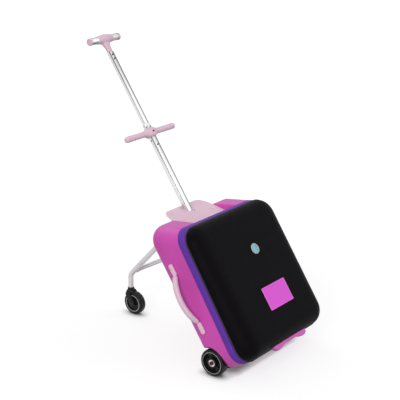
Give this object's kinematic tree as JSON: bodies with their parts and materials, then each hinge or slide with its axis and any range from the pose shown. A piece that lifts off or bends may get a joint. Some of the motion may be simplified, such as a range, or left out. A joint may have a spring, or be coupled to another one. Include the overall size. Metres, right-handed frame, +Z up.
{
  "type": "ride-on suitcase",
  "caption": "Child's ride-on suitcase with a hard back shell, soft zipped cover, pull pole with T grip and cross bar, seat plate, rear wheels and a folding caster leg.",
  "frame": {"origin": "middle of the footprint box, on the ground", "axes": "+Z up, +Y towards the pull grip and caster, +X to the right seen from the cover"},
  "size_m": [0.3724, 0.5996, 0.7448],
  "materials": {
    "magenta_shell": "semi-gloss moulded plastic",
    "pink_plastic": "satin moulded plastic",
    "black_plastic": "satin moulded plastic",
    "black_cloth": "fine woven cloth on a moulded foam backing",
    "purple_cloth": "woven tape",
    "zip_metal": "coated zip metal and coil",
    "label_face": "soft plain patch with a raised border",
    "badge_face": "plain enamelled disc",
    "alu_tube": "satin anodised",
    "bright_steel": "polished",
    "screw_steel": "blackened",
    "tyre_rubber": "soft wheel tread",
    "rim_plastic": "pale ring"
  },
  "bodies": {
    "case": {"rear_shell": "magenta_shell", "seat_plate": "pink_plastic", "pole_collar": "pink_plastic", "seat_screws": "screw_steel", "pole_sleeve": "alu_tube", "sleeve_clamps": "black_plastic", "zip_gusset": "purple_cloth", "zip_chain": "zip_metal", "hinge_strip": "purple_cloth", "zip_slider": "zip_metal", "wheel_arch_left": "black_plastic", "wheel_arch_right": "black_plastic", "axle_bolt_left": "bright_steel", "axle_bolt_right": "bright_steel", "axle_nuts": "bright_steel", "side_handle": "pink_plastic", "handle_screws": "screw_steel", "arm_bracket": "screw_steel", "arm_hinge_pin": "bright_steel", "brace_rail": "screw_steel", "leg_screws": "screw_steel"},
    "cover": {"front_cover": "black_cloth", "cover_piping": "black_cloth", "label_patch": "label_face", "badge_disc": "badge_face", "front_foot": "magenta_shell"},
    "puller": {"zip_puller": "zip_metal"},
    "pole_lower": {"lower_tube": "alu_tube", "lower_bush": "black_plastic", "lower_ring": "alu_tube", "stop_rivet": "screw_steel", "child_handlebar": "pink_plastic", "handlebar_screw": "screw_steel"},
    "pole_upper": {"upper_tube": "alu_tube", "upper_bush": "black_plastic", "tee_hub": "pink_plastic", "tee_tube": "bright_steel", "tee_cap_left": "pink_plastic", "tee_cap_right": "pink_plastic", "neck_rivets": "screw_steel"},
    "button": {"release_button": "black_plastic"},
    "wheel_left": {"tyre_left": "tyre_rubber", "rim_left": "rim_plastic", "hub_left": "black_plastic", "bearings_left": "bright_steel"},
    "wheel_right": {"tyre_right": "tyre_rubber", "rim_right": "rim_plastic", "hub_right": "black_plastic", "bearings_right": "bright_steel"},
    "arm": {"arm_tube": "alu_tube", "arm_eye": "black_plastic", "stem_collar": "black_plastic", "stem_bush": "black_plastic"},
    "brace": {"brace_bar": "alu_tube", "brace_pin": "bright_steel"},
    "caster_fork": {"caster_fork": "black_plastic", "caster_axle": "bright_steel"},
    "caster_wheel": {"caster_tyre": "tyre_rubber", "caster_hub": "black_plastic"}
  },
  "joints": [
    {"name": "cover_hinge", "type": "hinge", "parent": "case", "child": "cover", "pos_m": [0.0128, -0.27917, 0.05385], "axis": [1, 0, 0], "range_deg": [0, 100]},
    {"name": "puller_hinge", "type": "hinge", "parent": "case", "child": "puller", "pos_m": [0.1844, -0.11799, 0.3044], "axis": [0, -0.8471, 0.5314], "range_deg": [0, 150]},
    {"name": "lower_slide", "type": "slide", "parent": "case", "child": "pole_lower", "axis": [0, 0.5635, 0.8261], "range_m": [-0.175, 0]},
    {"name": "upper_slide", "type": "slide", "parent": "pole_lower", "child": "pole_upper", "axis": [0, 0.5635, 0.8261], "range_m": [-0.18, 0]},
    {"name": "button_press", "type": "slide", "parent": "pole_upper", "child": "button", "axis": [0, -0.8261, 0.5635], "range_m": [0, 0.002], "stiffness_N_per_m": 800, "springref_m": -0.001},
    {"name": "left_roll", "type": "hinge", "parent": "case", "child": "wheel_left", "pos_m": [0.0128, -0.18656, 0.034], "axis": [1, 0, 0], "continuous": true},
    {"name": "right_roll", "type": "hinge", "parent": "case", "child": "wheel_right", "pos_m": [0.0128, -0.18656, 0.034], "axis": [1, 0, 0], "continuous": true},
    {"name": "arm_fold", "type": "hinge", "parent": "case", "child": "arm", "pos_m": [0.0128, 0.03043, 0.3024], "axis": [-1, 0, 0], "range_deg": [0, 65.25]},
    {"name": "brace_fold", "type": "hinge", "parent": "arm", "child": "brace", "pos_m": [0.0128, 0.2001, 0.12018], "axis": [-1, 0, 0], "range_deg": [-0.05, 20.11]},
    {"name": "caster_swivel", "type": "hinge", "parent": "arm", "child": "caster_fork", "pos_m": [0.0128, 0.21033, 0.067], "axis": [0, 0, 1], "continuous": true},
    {"name": "caster_roll", "type": "hinge", "parent": "caster_fork", "child": "caster_wheel", "pos_m": [0.0128, 0.19733, 0.031], "axis": [1, 0, 0], "continuous": true}
  ],
  "couplings": [
    {"joint": "brace_fold", "follows": "arm_fold", "ratio": 0.30746}
  ]
}
